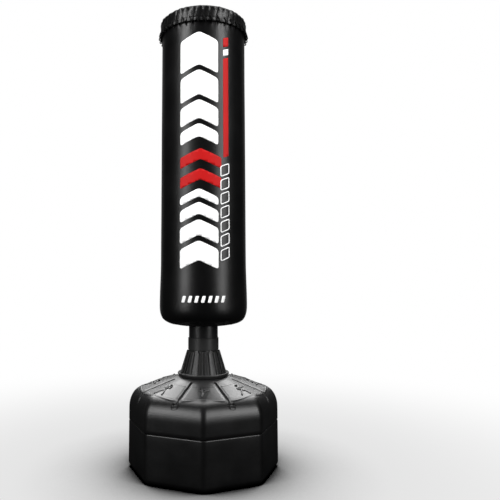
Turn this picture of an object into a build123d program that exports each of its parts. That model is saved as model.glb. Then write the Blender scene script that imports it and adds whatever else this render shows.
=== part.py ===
from build123d import *
import os
from math import cos, radians, sin, tan

# Free-standing boxing bag on a ballasted octagonal base.
# Millimetres, +Z up. The origin is on the floor at the middle of the base,
# the plain striking face looks along -Y and the fill cap is at the rear, on +Y.

# ---------------------------------------------------------------- overall sizes
overall_height = 1750.0
base_radius = 285.0  # to the rounded corners of the octagon
base_sides = 8
base_corner = 40.0
base_wall = 5.0
seam_height = 174.0
wall_height = 240.0
shoulder_radius = 60.0
bottom_edge = 20.0
dome_slope = 16.0
deck_margin = 8.0  # flat top of the dome, outside the lower plate
deck_corner_step = 9.0
seam_chamfer = 2.5
tongue_height = 10.0
tongue_wall = 3.5
fit = 0.2  # slack between pieces that are bolted or pressed into one body
running = 0.3  # slack between pieces that move on each other

# ---------------------------------------------------------------- feet
foot_drop = 2.0  # how far the cups stand below the shell
cup_radius = 24.0
cup_height = 10.0
cup_stem = 5.0
pocket_slack = 4.0
pocket_depth = 12.0
boss_wall = 5.0
outer_cups = 8
outer_cup_edge = 73.0  # from the corner of the base to the outer circle of cups
inner_cups = 4
inner_cup_gap = 9.0  # between the anchor plate and the inner bosses
stem_head = 8.0
stem_head_height = 5.0

# ---------------------------------------------------------------- anchor post
anchor_plate_radius = 88.0
anchor_plate_thickness = 6.0
anchor_tube_radius = 32.0
anchor_tube_wall = 3.0
sand_level = 150.0

# ---------------------------------------------------------------- spring neck
lower_plate_radius = 85.0
plate_thickness = 8.0
ring_width = 14.0
ring_height = 13.0
ring_taper = 5.0
ring_edge = 1.5
ring_lip = 4.0
ring_under = 5.0
ring_dish = 4.0
cone_height = 91.0
cone_over_tube = 0.8
cone_wall = 3.5
cone_ribs = 18
rib_height = 5.0
rib_root = 4.0
rib_foot = 17.0
rib_top = 8.5
rib_gap = 2.0  # plain band above the foot and under the collar
foot_flange = 3.0
foot_flange_width = 19.0
boot_screw_inset = 12.5  # from the foot of the cone
boot_screws_count = 6
boot_screw_radius = 2.5
boot_screw_head = 4.5
spring_count = 4
spring_circle = 38.0
spring_coil = 12.0  # to the middle of the wire
spring_wire = 5.0
spring_turns = 6
spring_sides = 12  # the wire's section is a polygon
seat_wall = 2.5
seat_height = 6.0
bump_radius = 8.0
bump_height = 48.0
ball_radius = 13.0
stud_radius = 7.0
stud_thread = 26.0
ball_height = 74.0  # middle of the ball above the lower plate
liner_wall = 2.0
ball_slack = 0.05
ball_opening = 52.0  # half angle of the opening under the ball
housing_radius = 21.5
housing_roof = 3.0
housing_below = 7.0  # how far the housing reaches below the ball's middle
housing_flange = 23.5
plate_bolt_inset = 16.5  # from the circle of the boot screws
plate_bolts_count = 4
bolt_radius = 5.0
bolt_below = 14.0  # how far the bolts reach under the dome
bolt_end = 2.0
bolt_nut = 8.0
head_share = 1.8  # size of a hexagon to its shank
mouth_depth = 60.0
stud_nut_share = 1.7

# ---------------------------------------------------------------- tube and collar
tube_radius = 56.2
tube_wall = 3.0
collar_wall = 2.8
collar_height = 45.0
collar_notch = 2.0

# ---------------------------------------------------------------- bag
bag_radius = 166.0
bag_bulge = 3.6
tube_show = 48.7  # bare tube between the collar and the bag
bulge_height = 80.0  # widest place above the bottom of the bag
bulge_fade = 170.0
bottom_dish = 7.0
flat_share = 0.5  # of the way from the tube to the side, where the bottom turns up
corner_in = 10.0
corner_share_up = 0.38
cover_thickness = 1.5
cover_hole_slack = 1.0
crown_rise = 12.0
sleeve_wall = 4.0
soft_foam_wall = 56.0
crown_pad_depth = 78.0
disc_thickness = 12.0
support_ring_wall = 13.8
support_ring_height = 6.0
disc_lift = 12.0  # underside of the lower disc above the bottom of the bag
top_disc_inset = 16.0
top_disc_thickness = 8.0
plug_depth = 30.0
crown_edge = 16.0
crown_fall = 1.0  # from the middle of the crown to its rounded edge
cap_lip = 4.5
cap_slack = 0.5
skirt_height = 50.0
skirt_flare = 8.0
hem_radius = 3.5

# ---------------------------------------------------------------- fill cap
cap_edge = 95.0  # from the corner of the base to the middle of the spout, at the rear
spout_radius = 24.0
spout_wall = 4.0
spout_height = 12.0
spout_root = 14.0
cap_radius = 30.0
cap_roof = 3.0
cap_gap = 1.5
cap_ribs = 24
cap_rib = 1.5
seal_thickness = 2.5

# ---------------------------------------------------------------- places that follow
cone_foot = lower_plate_radius
cone_top = tube_radius + cone_over_tube
ring_radius = lower_plate_radius + ring_width
deck_radius = lower_plate_radius + deck_margin
deck_corner = deck_radius - deck_corner_step
foot_flange_inner = cone_foot - foot_flange_width
boot_screw_circle = cone_foot - boot_screw_inset
plate_bolt_circle = boot_screw_circle - plate_bolt_inset
boss_radius = cup_radius + pocket_slack + boss_wall
outer_cup_circle = base_radius - outer_cup_edge
inner_cup_circle = anchor_plate_radius + boss_radius + inner_cup_gap
cap_place = base_radius - cap_edge
floor_top = foot_drop + base_wall
shoulder_angle = 90.0 - dome_slope
shoulder_out = base_radius - shoulder_radius * (1 - cos(radians(shoulder_angle)))
shoulder_up = wall_height + shoulder_radius * sin(radians(shoulder_angle))
deck_height = shoulder_up + (shoulder_out - deck_radius) * tan(radians(dome_slope))
plate_top = deck_height + plate_thickness
pivot_height = plate_top + ball_height
housing_top = pivot_height + ball_radius + liner_wall + 2 * ball_slack + housing_roof
upper_plate_top = housing_top + plate_thickness
cone_base = plate_top
collar_base = cone_base + cone_height
bag_bottom = collar_base + collar_height + tube_show
bottom_flat = tube_radius + (bag_radius - tube_radius) * flat_share
cover_top = overall_height - crown_rise
foam_top = cover_top - crown_pad_depth
tube_top = foam_top
firm_foam_radius = bag_radius - soft_foam_wall
support_ring_radius = tube_radius + support_ring_wall
top_disc_radius = bag_radius - top_disc_inset
apothem_share = cos(radians(180.0 / base_sides))
corner_share = 1 / apothem_share - 1

os.makedirs("parts", exist_ok=True)


def save(name, shape):
    shape.label = name
    export_step(shape, f"parts/{name}.step")


def cylinder(radius, low, high, x=0.0, y=0.0):
    drum = Cylinder(radius, high - low, align=(Align.CENTER, Align.CENTER, Align.MIN))
    return Pos(x, y, low) * drum


def ring(outer, inner, low, high, x=0.0, y=0.0):
    return cylinder(outer, low, high, x, y) - cylinder(inner, low, high, x, y)


def around(count, circle, start=0.0):
    step = 360.0 / count
    angles = [radians(start + step * i) for i in range(count)]
    return [(circle * cos(a), circle * sin(a)) for a in angles]


def turned(outline):
    return revolve(make_face(Plane.XZ * outline), Axis.Z)


# ---------------------------------------------------------------- octagonal base
def octagon(reach, corner, height):
    flat = RegularPolygon(reach + corner * corner_share, base_sides)
    return Pos(0, 0, height) * fillet(flat.vertices(), corner)


def base_solid(inset):
    reach = base_radius - inset
    corner = base_corner - inset
    low = foot_drop + inset
    lower = extrude(octagon(reach, corner, low), wall_height - low)
    lower = fillet(lower.edges().group_by(Axis.Z)[0], bottom_edge - inset)
    bend = shoulder_radius - inset
    steps = 5
    sections = []
    for i in range(steps + 1):
        turn = radians(shoulder_angle * i / steps)
        out = base_radius - shoulder_radius + bend * cos(turn)
        up = wall_height + bend * sin(turn)
        sections.append((out, up))
    last_out, last_up = sections[-1]
    top_out = deck_radius - inset * sin(radians(dome_slope))
    top_up = last_up + (last_out - top_out) * tan(radians(dome_slope))
    shoulder = loft([octagon(out, corner_at(out, inset), up) for out, up in sections], ruled=True)
    dome_faces = [
        octagon(last_out, corner_at(last_out, inset), last_up),
        octagon(top_out, corner_at(top_out, inset), top_up),
    ]
    return lower + shoulder + loft(dome_faces, ruled=True)


def corner_at(reach, inset):
    share = (base_radius - inset - reach) / (base_radius - deck_radius)
    return (base_corner - inset) + (deck_corner - base_corner) * share


def below(height):
    # everything from the floor up to that height
    wide = 4 * base_radius
    return Box(wide, wide, height, align=(Align.CENTER, Align.CENTER, Align.MIN))


cup_places = around(outer_cups, outer_cup_circle, 180.0 / outer_cups)
cup_places += around(inner_cups, inner_cup_circle, 180.0 / inner_cups)
pocket_top = foot_drop + pocket_depth
boss_top = pocket_top + base_wall

outer_base = base_solid(0.0)
inner_base = base_solid(base_wall)

lower_shell = (outer_base - inner_base) & below(seam_height)
tongue = base_solid(base_wall + fit) - base_solid(base_wall + fit + tongue_wall)
tongue = (tongue & below(seam_height + tongue_height)) - below(seam_height - tongue_height)
lower_shell += (inner_base - base_solid(base_wall + fit + tongue_wall)) & (
    below(seam_height) - below(seam_height - tongue_height)
)
lower_shell += tongue
for x, y in cup_places:
    lower_shell += cylinder(boss_radius, floor_top, boss_top, x, y)
for x, y in cup_places:
    lower_shell -= cylinder(cup_radius + pocket_slack, foot_drop, pocket_top, x, y)
    lower_shell -= cylinder(cup_stem + fit, pocket_top, boss_top, x, y)


def seam_cut(reach_in, height_low, height_high, narrow_low):
    # a ring with a sloping inner face, cut from the outer edge of one shell
    full = octagon(base_radius, base_corner, 0.0)
    slim = octagon(base_radius - reach_in, base_corner - reach_in, 0.0)
    band = extrude(Pos(0, 0, height_low) * full, height_high - height_low)
    pair = [Pos(0, 0, height_low) * (slim if narrow_low else full)]
    pair.append(Pos(0, 0, height_high) * (full if narrow_low else slim))
    return band - loft(pair, ruled=True)


lower_shell -= seam_cut(seam_chamfer, seam_height - seam_chamfer, seam_height, False)
save("base_lower_shell", lower_shell)

upper_shell = (outer_base - inner_base) - below(seam_height)
upper_shell -= seam_cut(seam_chamfer, seam_height, seam_height + seam_chamfer, True)
upper_shell -= cylinder(anchor_tube_radius + fit, wall_height, deck_height + 1)

# spout for the sand, square to the slope of the dome at the rear
surface_up = shoulder_up + (shoulder_out - cap_place) * tan(radians(dome_slope))
spout_plane = Plane(
    origin=(0, cap_place, surface_up),
    x_dir=(1, 0, 0),
    z_dir=(0, sin(radians(dome_slope)), cos(radians(dome_slope))),
)
spout = spout_plane * ring(spout_radius, spout_radius - spout_wall, -spout_root, spout_height)
spout_bore = spout_plane * cylinder(spout_radius - spout_wall, -spout_root - 1, spout_height)
upper_shell = (upper_shell - spout_bore) + spout
bolt_places = around(plate_bolts_count, plate_bolt_circle)
for x, y in bolt_places:
    upper_shell -= cylinder(bolt_radius, deck_height - 3 * base_wall, deck_height, x, y)
save("base_upper_shell", upper_shell)

cap_low = cap_gap
cap_top = spout_height + seal_thickness + cap_roof
cap_shape = ring(cap_radius, spout_radius + running, cap_low, cap_top)
cap_shape += cylinder(cap_radius, spout_height + seal_thickness, cap_top)
for x, y in around(cap_ribs, cap_radius):
    cap_shape += cylinder(cap_rib, cap_low, cap_top - cap_rib, x, y)
save("fill_cap", spout_plane * cap_shape)
seal = ring(spout_radius, spout_radius - spout_wall, spout_height, spout_height + seal_thickness)
save("fill_cap_seal", spout_plane * seal)

cup_outline = Polyline(
    (0, pocket_top),
    (0, cup_height * 0.35),
    (cup_radius * 0.55, cup_height * 0.25),
    (cup_radius * 0.94, 0),
    (cup_radius, 0),
    (cup_radius * 0.9, cup_height * 0.3),
    (cup_radius * 0.5, cup_height * 0.75),
    (cup_stem * 1.8, pocket_top),
    close=True,
)
cup = turned(cup_outline)
cup += cylinder(cup_stem, pocket_top - 1, boss_top)
cup += cylinder(stem_head, boss_top, boss_top + stem_head_height)
save("suction_cups", Compound(children=[Pos(x, y, 0) * cup for x, y in cup_places]))

# ---------------------------------------------------------------- anchor post and ballast
plate_low = floor_top
tube_low = plate_low + anchor_plate_thickness
save("anchor_plate", cylinder(anchor_plate_radius, plate_low, tube_low))
anchor_tube = ring(anchor_tube_radius, anchor_tube_radius - anchor_tube_wall, tube_low, deck_height)
save("anchor_tube", anchor_tube)

sand = inner_base & below(sand_level)
sand -= cylinder(anchor_plate_radius, plate_low, tube_low)
sand -= cylinder(anchor_tube_radius, tube_low, sand_level)
for x, y in cup_places:
    sand -= cylinder(boss_radius, floor_top, boss_top, x, y)
    sand -= cylinder(stem_head, boss_top, boss_top + stem_head_height, x, y)
save("sand_fill", sand)

# ---------------------------------------------------------------- spring neck
lower_plate = cylinder(lower_plate_radius, deck_height, plate_top)
lower_plate -= cylinder(stud_radius, deck_height, plate_top)
boot_screw_places = around(boot_screws_count, boot_screw_circle, 30.0)
for x, y in bolt_places:
    lower_plate -= cylinder(bolt_radius, deck_height, plate_top, x, y)
for x, y in boot_screw_places:
    lower_plate -= cylinder(boot_screw_radius, deck_height, plate_top, x, y)
save("lower_spring_plate", lower_plate)


def hex_head(size, low, high, x, y):
    head = extrude(RegularPolygon(size, 6), high - low)
    return Pos(x, y, low) * head


plate_bolts = []
for x, y in bolt_places:
    shank_low = deck_height - base_wall - bolt_below
    nut_low = shank_low + bolt_end
    bolt = cylinder(bolt_radius, shank_low, plate_top, x, y)
    bolt += hex_head(bolt_radius * head_share, plate_top, plate_top + bolt_radius, x, y)
    bolt += hex_head(bolt_radius * head_share, nut_low, nut_low + bolt_nut, x, y)
    plate_bolts.append(bolt)
save("plate_bolts", Compound(children=plate_bolts))

ring_outline = Polyline(
    (ring_radius - ring_under, deck_height),
    (ring_radius, deck_height + ring_height - ring_taper),
    (ring_radius, deck_height + ring_height - ring_edge),
    (ring_radius - ring_edge, deck_height + ring_height),
    (ring_radius - ring_lip, deck_height + ring_height),
    (lower_plate_radius + rib_height + 1, deck_height + ring_height - ring_dish),
    (lower_plate_radius + fit, plate_top),
    (lower_plate_radius + fit, deck_height),
    close=True,
)
save("neck_ring", turned(ring_outline))

# ribbed boot: a hollow cone with a flange inside its foot
cone_slope = (cone_foot - cone_top) / cone_height
boot_outline = Polyline(
    (foot_flange_inner, cone_base),
    (cone_foot, cone_base),
    (cone_top, collar_base),
    (cone_top - cone_wall, collar_base),
    (cone_foot - cone_wall - foot_flange * cone_slope, cone_base + foot_flange),
    (foot_flange_inner, cone_base + foot_flange),
    close=True,
)
boot = turned(boot_outline)
rib_middle = (rib_height - rib_root) / 2
foot_pad = Pos(cone_foot + rib_middle, 0, cone_base + rib_gap) * Rectangle(rib_height + rib_root, rib_foot)
top_pad = Pos(cone_top + rib_middle, 0, collar_base - rib_gap) * Rectangle(rib_height + rib_root, rib_top)
for i in range(cone_ribs):
    boot += Rot(0, 0, 360.0 * i / cone_ribs) * loft([foot_pad, top_pad], ruled=True)
for x, y in boot_screw_places:
    boot -= cylinder(boot_screw_radius, cone_base, cone_base + foot_flange, x, y)
save("neck_boot", boot)

boot_screws = []
for x, y in boot_screw_places:
    screw = cylinder(boot_screw_radius, deck_height, cone_base + foot_flange, x, y)
    screw += cylinder(boot_screw_head, cone_base + foot_flange, cone_base + 2 * foot_flange, x, y)
    boot_screws.append(screw)
save("boot_screws", Compound(children=boot_screws))

ball_post = Sphere(ball_radius) + cylinder(stud_radius, -ball_height, 0)
ball_post = Pos(0, 0, pivot_height) * ball_post
ball_post += cylinder(stud_radius, deck_height - stud_thread, plate_top)
ball_post += hex_head(stud_radius * head_share, plate_top, plate_top + stud_radius, 0, 0)
save("ball_stud", ball_post)
nut_low = deck_height - stud_radius * stud_nut_share
stud_nut = hex_head(stud_radius * head_share, nut_low, deck_height, 0, 0)
stud_nut -= cylinder(stud_radius, nut_low, deck_height)
save("stud_nut", stud_nut)

# socket: a nylon liner on the ball, in a steel housing under the upper plate
liner_in = ball_radius + ball_slack
liner_out = liner_in + liner_wall
cavity = liner_out + ball_slack
mouth = Cone(0.01, mouth_depth * tan(radians(ball_opening)), mouth_depth)
mouth = Rot(180, 0, 0) * Pos(0, 0, mouth_depth / 2) * mouth
liner = (Sphere(liner_out) - Sphere(liner_in)) - mouth
save("socket_liner", Pos(0, 0, pivot_height) * liner)
housing = cylinder(housing_radius, pivot_height - housing_below, housing_top)
housing += cylinder(housing_flange, housing_top - housing_roof, housing_top)
housing -= Pos(0, 0, pivot_height) * Sphere(cavity)
save("ball_housing", housing)

upper_plate = cylinder(tube_radius, housing_top, upper_plate_top)
save("upper_spring_plate", upper_plate)

spring_places = around(spring_count, spring_circle, 45.0)
lower_seats = []
upper_seats = []
bumps = []
springs = []
seat_inner = spring_coil + spring_wire / 2 + fit
seat_limit = cone_top - rib_root - fit
spring_low = plate_top
spring_high = housing_top
spring_pitch = (spring_high - spring_low - spring_wire) / spring_turns
for x, y in spring_places:
    seat = ring(seat_inner + seat_wall, seat_inner, plate_top, plate_top + seat_height, x, y)
    seat -= cylinder(stud_radius * head_share + fit, plate_top, upper_plate_top)
    lower_seats.append(seat & cylinder(foot_flange_inner - fit, plate_top, upper_plate_top))
    seat = ring(seat_inner + seat_wall, seat_inner, housing_top - seat_height, housing_top, x, y)
    seat -= cylinder(housing_flange + fit, plate_top, upper_plate_top)
    upper_seats.append(seat & cylinder(seat_limit, plate_top, upper_plate_top))
    bumps.append(cylinder(bump_radius, plate_top, plate_top + bump_height, x, y))
    path = Helix(spring_pitch, spring_high - spring_low - spring_wire, spring_coil)
    section = Plane(origin=path @ 0, z_dir=path % 0) * RegularPolygon(spring_wire / 2, spring_sides)
    wire = sweep(section, path=path, is_frenet=True)
    springs.append(Pos(x, y, spring_low + spring_wire / 2) * wire)
save("lower_spring_seats", Compound(children=lower_seats))
save("upper_spring_seats", Compound(children=upper_seats))
save("bump_stops", Compound(children=bumps))
save("coil_springs", Compound(children=springs))

# ---------------------------------------------------------------- tube and collar
core_tube = ring(tube_radius, tube_radius - tube_wall, upper_plate_top, tube_top)
save("core_tube", core_tube)
collar_out = tube_radius + collar_wall
collar_outline = Polyline(
    (tube_radius, collar_base),
    (collar_out, collar_base),
    (collar_out, collar_base + collar_height - collar_notch),
    (collar_out - collar_notch, collar_base + collar_height),
    (tube_radius, collar_base + collar_height),
    close=True,
)
save("tube_collar", turned(collar_outline))
plug = cylinder(tube_radius - tube_wall, tube_top - plug_depth, tube_top)
save("tube_plug", plug)


# ---------------------------------------------------------------- bag
def bag_solid(inset, top):
    side = bag_radius - inset
    bulge = side + bag_bulge
    low = bag_bottom + inset
    widest = bag_bottom + bulge_height
    sag = low + bottom_dish
    outline = Line((0, low), (tube_radius, low))
    outline += Spline(
        (tube_radius, low),
        (bottom_flat, sag),
        (bulge - corner_in, bag_bottom + bulge_height * corner_share_up),
        (bulge, widest),
        tangents=[(1, 0.05), (0, 1)],
    )
    outline += Spline(
        (bulge, widest),
        (side, widest + bulge_fade),
        tangents=[(0, 1), (0, 1)],
    )
    outline += Polyline((side, widest + bulge_fade), (side, top), (0, top), (0, low))
    return turned(outline)


bag_outer = bag_solid(0.0, cover_top)
bag_inner = bag_solid(cover_thickness, cover_top)
cover = bag_outer - bag_inner
cover -= cylinder(tube_radius + cover_hole_slack, bag_bottom, bag_bottom + 2 * cover_thickness)
save("bag_cover", cover)

disc_low = bag_bottom + disc_lift
disc_high = disc_low + disc_thickness
sleeve_radius = tube_radius + sleeve_wall
support = ring(support_ring_radius, tube_radius, disc_low - support_ring_height, disc_low)
save("support_ring", support)
save("lower_disc", ring(firm_foam_radius, tube_radius, disc_low, disc_high))
save("core_sleeve", ring(sleeve_radius, tube_radius, disc_high, foam_top))
save("firm_foam", ring(firm_foam_radius, sleeve_radius, disc_high, foam_top))
soft_foam = bag_inner & below(foam_top)
soft_foam -= cylinder(firm_foam_radius, bag_bottom, foam_top)
save("soft_foam", soft_foam)
bottom_pad = (bag_inner & below(disc_low)) & cylinder(firm_foam_radius, bag_bottom, disc_low)
bottom_pad -= cylinder(tube_radius + cover_hole_slack, bag_bottom, disc_low)
bottom_pad -= cylinder(support_ring_radius, disc_low - support_ring_height, disc_low)
save("bottom_pad", bottom_pad)
disc_top = foam_top + top_disc_thickness
save("top_disc", cylinder(top_disc_radius, foam_top, disc_top))


# crown pad, cap with its flared skirt, and the gathered hem
def crown_solid(radius, high):
    edge_end = (radius - crown_edge, high - crown_fall)
    outline = Line((0, cover_top), (radius, cover_top))
    outline += Spline((radius, cover_top), edge_end, tangents=[(0, 1), (-1, 0)])
    outline += Polyline(edge_end, (0, high), (0, cover_top))
    return turned(outline)


pad_radius = bag_radius - cover_thickness
crown_inside = crown_solid(pad_radius, overall_height - cover_thickness)
save("crown_pad", crown_inside + cylinder(pad_radius, disc_top, cover_top))

skirt_in = bag_radius + cap_slack
skirt_low = cover_top - skirt_height
lip_out = skirt_in + cap_lip
cap = crown_solid(lip_out, overall_height) - crown_inside
skirt_outline = Polyline(
    (skirt_in, cover_top),
    (skirt_in + skirt_flare, skirt_low),
    (skirt_in + skirt_flare + cover_thickness, skirt_low),
    (lip_out, cover_top),
    close=True,
)
cap += turned(skirt_outline)
save("top_cover", cap)
hem_middle = skirt_in + skirt_flare + cover_thickness / 2
hem = Pos(0, 0, skirt_low - hem_radius) * Torus(hem_middle, hem_radius)
save("hem_band", hem)
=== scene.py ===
import bpy
import bmesh
import math
import random
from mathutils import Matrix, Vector, noise
from mathutils.bvhtree import BVHTree


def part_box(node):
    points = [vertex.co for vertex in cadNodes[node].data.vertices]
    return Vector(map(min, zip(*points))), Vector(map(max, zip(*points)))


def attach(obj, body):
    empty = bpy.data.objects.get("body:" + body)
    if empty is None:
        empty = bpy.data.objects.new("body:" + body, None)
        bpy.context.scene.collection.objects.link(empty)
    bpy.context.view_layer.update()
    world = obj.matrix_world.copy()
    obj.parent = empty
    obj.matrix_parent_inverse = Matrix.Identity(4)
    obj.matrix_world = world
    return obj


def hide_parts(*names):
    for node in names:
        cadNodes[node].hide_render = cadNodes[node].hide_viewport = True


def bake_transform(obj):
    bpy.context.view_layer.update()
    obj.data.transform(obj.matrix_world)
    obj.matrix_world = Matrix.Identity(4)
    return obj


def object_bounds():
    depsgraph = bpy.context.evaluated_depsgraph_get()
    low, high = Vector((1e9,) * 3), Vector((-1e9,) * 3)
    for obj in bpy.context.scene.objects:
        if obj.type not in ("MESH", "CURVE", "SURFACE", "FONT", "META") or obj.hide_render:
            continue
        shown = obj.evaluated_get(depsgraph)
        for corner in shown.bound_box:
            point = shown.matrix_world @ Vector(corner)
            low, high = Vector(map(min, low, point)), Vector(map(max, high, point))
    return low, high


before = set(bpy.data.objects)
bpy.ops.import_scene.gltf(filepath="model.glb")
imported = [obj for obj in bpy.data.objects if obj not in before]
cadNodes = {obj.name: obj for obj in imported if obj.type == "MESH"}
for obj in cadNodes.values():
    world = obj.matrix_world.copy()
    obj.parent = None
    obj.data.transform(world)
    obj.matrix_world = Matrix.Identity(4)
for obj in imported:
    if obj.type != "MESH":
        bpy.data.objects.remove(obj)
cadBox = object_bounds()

fullTurn = 2 * math.pi
print("frame loaded,", len(cadNodes), "nodes")


def lerp(a, b, t):
    return a + (b - a) * t


def smooth(low, high, x):
    t = min(max((x - low) / (high - low), 0.0), 1.0)
    return t * t * (3 - 2 * t)


def around(angle, radius, z):
    # angle 0 is the striking side, -Y, and it grows towards +X
    return Vector((radius * math.sin(angle), -radius * math.cos(angle), z))


def ringFaces(rows, cols):
    faces = []
    for i in range(rows - 1):
        for j in range(cols):
            k = (j + 1) % cols
            faces.append((i * cols + j, i * cols + k, (i + 1) * cols + k, (i + 1) * cols + j))
    return faces


def newObject(name, data):
    made = bpy.data.objects.new(name, data)
    bpy.context.scene.collection.objects.link(made)
    return made


def addPiece(name, verts, faces, material, body):
    mesh = bpy.data.meshes.new(name)
    mesh.from_pydata([tuple(v) for v in verts], [], faces)
    mesh.update()
    mesh.shade_smooth()
    piece = newObject(name, mesh)
    mesh.materials.append(material)
    if body:
        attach(piece, body)
    return piece


def bakeModifiers(piece):
    graph = bpy.context.evaluated_depsgraph_get()
    fresh = bpy.data.meshes.new_from_object(piece.evaluated_get(graph))
    piece.modifiers.clear()
    piece.data = fresh


def thicken(piece, depth):
    wall = piece.modifiers.new("wall", "SOLIDIFY")
    wall.thickness = depth
    wall.offset = -1
    bakeModifiers(piece)


def joinInto(name, parts, material, body):
    # parts is a list of (verts, faces)
    verts, faces = [], []
    for someVerts, someFaces in parts:
        start = len(verts)
        verts += someVerts
        faces += [tuple(start + i for i in face) for face in someFaces]
    return addPiece(name, verts, faces, material, body)


def tubeAlong(points, radius, sides=8, closed=False):
    # round tube through points, with flat ends
    count = len(points)
    verts, faces = [], []
    up = Vector((0, 0, 1))
    for i, point in enumerate(points):
        before = points[i - 1] if i or closed else points[i]
        after = points[(i + 1) % count] if i < count - 1 or closed else points[i]
        along = (after - before).normalized()
        side = along.cross(up)
        if side.length < 1e-4:
            side = along.cross(Vector((1, 0, 0)))
        side.normalize()
        over = side.cross(along)
        for k in range(sides):
            a = fullTurn * k / sides
            verts.append(point + (side * math.cos(a) + over * math.sin(a)) * radius)
    for i in range(count if closed else count - 1):
        n = (i + 1) % count
        for k in range(sides):
            m = (k + 1) % sides
            faces.append((i * sides + k, n * sides + k, n * sides + m, i * sides + m))
    if not closed:
        faces.append(tuple(range(sides)))
        faces.append(tuple((count - 1) * sides + k for k in reversed(range(sides))))
    return verts, faces


def grey(shade):
    return (shade, shade, shade)


def newFinish(name):
    finish = bpy.data.materials.new(name)
    finish.use_nodes = True
    tree = finish.node_tree
    shader = tree.nodes["Principled BSDF"]
    place = tree.nodes.new("ShaderNodeTexCoord")
    return finish, tree, shader, place.outputs["Object"]


def addNoise(tree, place, scale, detail=3.0, rough=0.55):
    node = tree.nodes.new("ShaderNodeTexNoise")
    node.inputs["Scale"].default_value = scale
    node.inputs["Detail"].default_value = detail
    node.inputs["Roughness"].default_value = rough
    tree.links.new(place, node.inputs["Vector"])
    return node.outputs["Fac"]


def addCells(tree, place, scale, feature="F1"):
    node = tree.nodes.new("ShaderNodeTexVoronoi")
    node.feature = feature
    node.inputs["Scale"].default_value = scale
    tree.links.new(place, node.inputs["Vector"])
    return node.outputs["Distance"]


def addRamp(tree, fac, low, high, lowAt=0.3, highAt=0.7):
    node = tree.nodes.new("ShaderNodeValToRGB")
    node.color_ramp.elements[0].position = lowAt
    node.color_ramp.elements[1].position = highAt
    node.color_ramp.elements[0].color = (*low, 1)
    node.color_ramp.elements[1].color = (*high, 1)
    tree.links.new(fac, node.inputs["Fac"])
    return node.outputs["Color"]


def addRange(tree, fac, low, high, fromLow=0.0, fromHigh=1.0, curve="LINEAR"):
    node = tree.nodes.new("ShaderNodeMapRange")
    node.interpolation_type = curve
    node.inputs["From Min"].default_value = fromLow
    node.inputs["From Max"].default_value = fromHigh
    node.inputs["To Min"].default_value = low
    node.inputs["To Max"].default_value = high
    tree.links.new(fac, node.inputs["Value"])
    return node.outputs["Result"]


def addSum(tree, a, b, share):
    node = tree.nodes.new("ShaderNodeMath")
    node.operation = "MULTIPLY_ADD"
    node.inputs[1].default_value = share
    tree.links.new(b, node.inputs[0])
    tree.links.new(a, node.inputs[2])
    return node.outputs["Value"]


def addProduct(tree, a, b):
    node = tree.nodes.new("ShaderNodeMath")
    node.operation = "MULTIPLY"
    tree.links.new(a, node.inputs[0])
    tree.links.new(b, node.inputs[1])
    return node.outputs["Value"]


def stretched(tree, place, stretch):
    node = tree.nodes.new("ShaderNodeMapping")
    node.inputs["Scale"].default_value = stretch
    tree.links.new(place, node.inputs["Vector"])
    return node.outputs["Vector"]


def addBump(tree, shader, height, depth, strength):
    node = tree.nodes.new("ShaderNodeBump")
    node.inputs["Strength"].default_value = strength
    node.inputs["Distance"].default_value = depth
    tree.links.new(height, node.inputs["Height"])
    tree.links.new(node.outputs["Normal"], shader.inputs["Normal"])


leatherLook = {"dark": (0.0010, 0.0010, 0.0011), "light": (0.0022, 0.0022, 0.0023), "grain": 620.0,
               "grainDepth": 0.0004, "roughLow": 0.25, "roughHigh": 0.35, "shine": 0.25}


def leatherFinish(name, dark, light, roughLow, roughHigh, shine, grain=1.0):
    # pressed grain: cells with creases between them, over a slow change of gloss
    look = leatherLook
    finish, tree, shader, place = newFinish(name)
    cells = addCells(tree, place, look["grain"], "DISTANCE_TO_EDGE")
    pores = addNoise(tree, place, look["grain"] * 2.6, 2.0)
    slow = addNoise(tree, place, 9.0, 4.0)
    height = addSum(tree, cells, pores, 0.35)
    gloss = addRange(tree, addSum(tree, slow, pores, 0.4), roughLow, roughHigh)
    tree.links.new(addRamp(tree, slow, dark, light), shader.inputs["Base Color"])
    tree.links.new(gloss, shader.inputs["Roughness"])
    addBump(tree, shader, height, look["grainDepth"], 0.3 * grain)
    shader.inputs["Specular IOR Level"].default_value = shine
    return finish


coverLeather = leatherFinish("coverLeather", leatherLook["dark"], leatherLook["light"],
                             leatherLook["roughLow"], leatherLook["roughHigh"], leatherLook["shine"])
whiteInk = leatherFinish("whiteInk", grey(0.84), grey(0.92), 0.45, 0.6, 0.3, 0.6)
redInk = leatherFinish("redInk", (0.36, 0.004, 0.004), (0.42, 0.006, 0.006), 0.42, 0.58, 0.12, 0.6)


def mouldedFinish(name, dark, light, roughLow, roughHigh, texture, depth, shine=0.4):
    # spark-etched moulding: fine even pits, faint flow marks, colour a little lighter on sharp outer edges
    finish, tree, shader, place = newFinish(name)
    pits = addNoise(tree, place, texture, 2.0, 0.7)
    flow = addNoise(tree, place, 14.0, 5.0)
    edgePointiness = tree.nodes.new("ShaderNodeNewGeometry").outputs["Pointiness"]
    body = addRamp(tree, flow, dark, light)
    mix = tree.nodes.new("ShaderNodeMix")
    mix.data_type = "RGBA"
    mix.inputs["B"].default_value = (*[c * 2.6 + 0.01 for c in light], 1)
    # the colour is lifted towards a lighter grey wherever the surface is sharply convex
    tree.links.new(addRamp(tree, edgePointiness, (0, 0, 0), (0.6, 0.6, 0.6), 0.52, 0.62), mix.inputs["Factor"])
    tree.links.new(body, mix.inputs["A"])
    gloss = addRange(tree, addSum(tree, flow, pits, 0.3), roughLow, roughHigh)
    tree.links.new(mix.outputs["Result"], shader.inputs["Base Color"])
    tree.links.new(gloss, shader.inputs["Roughness"])
    shader.inputs["Specular IOR Level"].default_value = shine
    addBump(tree, shader, pits, depth, 0.35)
    return finish


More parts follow.
